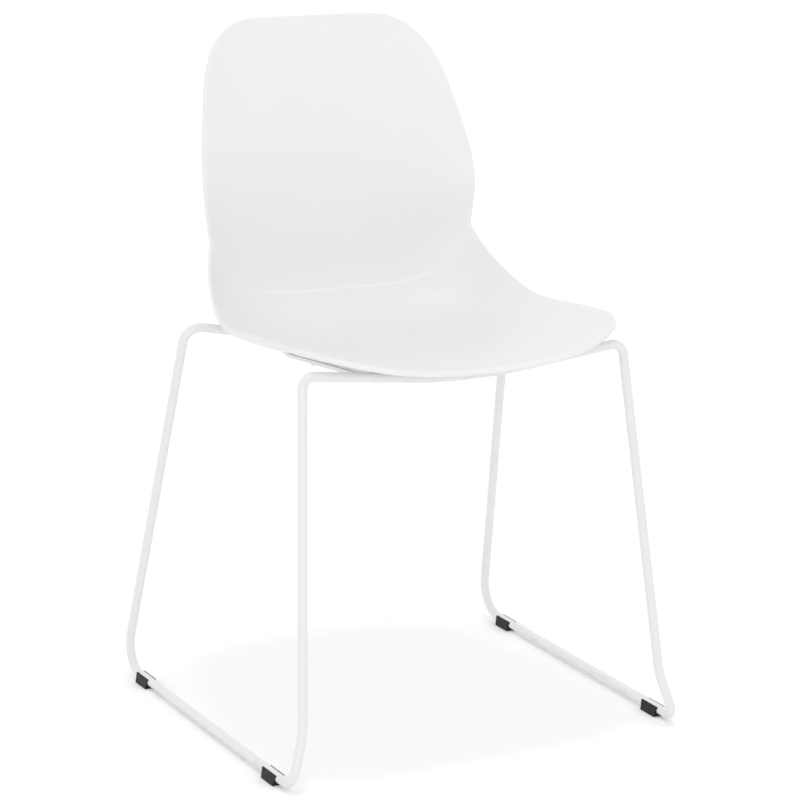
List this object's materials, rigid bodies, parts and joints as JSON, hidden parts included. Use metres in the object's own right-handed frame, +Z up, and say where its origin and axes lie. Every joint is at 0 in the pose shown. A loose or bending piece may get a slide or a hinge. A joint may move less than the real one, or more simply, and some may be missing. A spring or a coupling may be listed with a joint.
{
  "type": "stacking chair",
  "caption": "White stacking side chair: a one-piece moulded shell with a waisted, egg-shaped back on a slender bent-rod sled frame with black clip-on glides.",
  "frame": {"origin": "on the floor, at the middle of the chair's plan box", "axes": "+Z up, -Y the way the sitter faces, +X the sitter's left; the chair is the same on both sides of X = 0"},
  "size_m": [0.5368, 0.4921, 0.8255],
  "materials": {
    "shell_plastic": "satin moulded white plastic",
    "frame_paint": "white powder coat, semi-gloss",
    "glide_plastic": "black moulded plastic, satin",
    "brass": "machined",
    "zinc_steel": "bright zinc plate"
  },
  "bodies": {
    "root": {"seat_shell": "shell_plastic", "left_frame_rod": "frame_paint", "right_frame_rod": "frame_paint", "left_seat_rail": "frame_paint", "right_seat_rail": "frame_paint", "front_left_glide": "glide_plastic", "front_right_glide": "glide_plastic", "rear_left_glide": "glide_plastic", "rear_right_glide": "glide_plastic", "threaded_inserts": "brass", "seat_screws": "zinc_steel", "washers": "zinc_steel"}
  },
  "joints": []
}
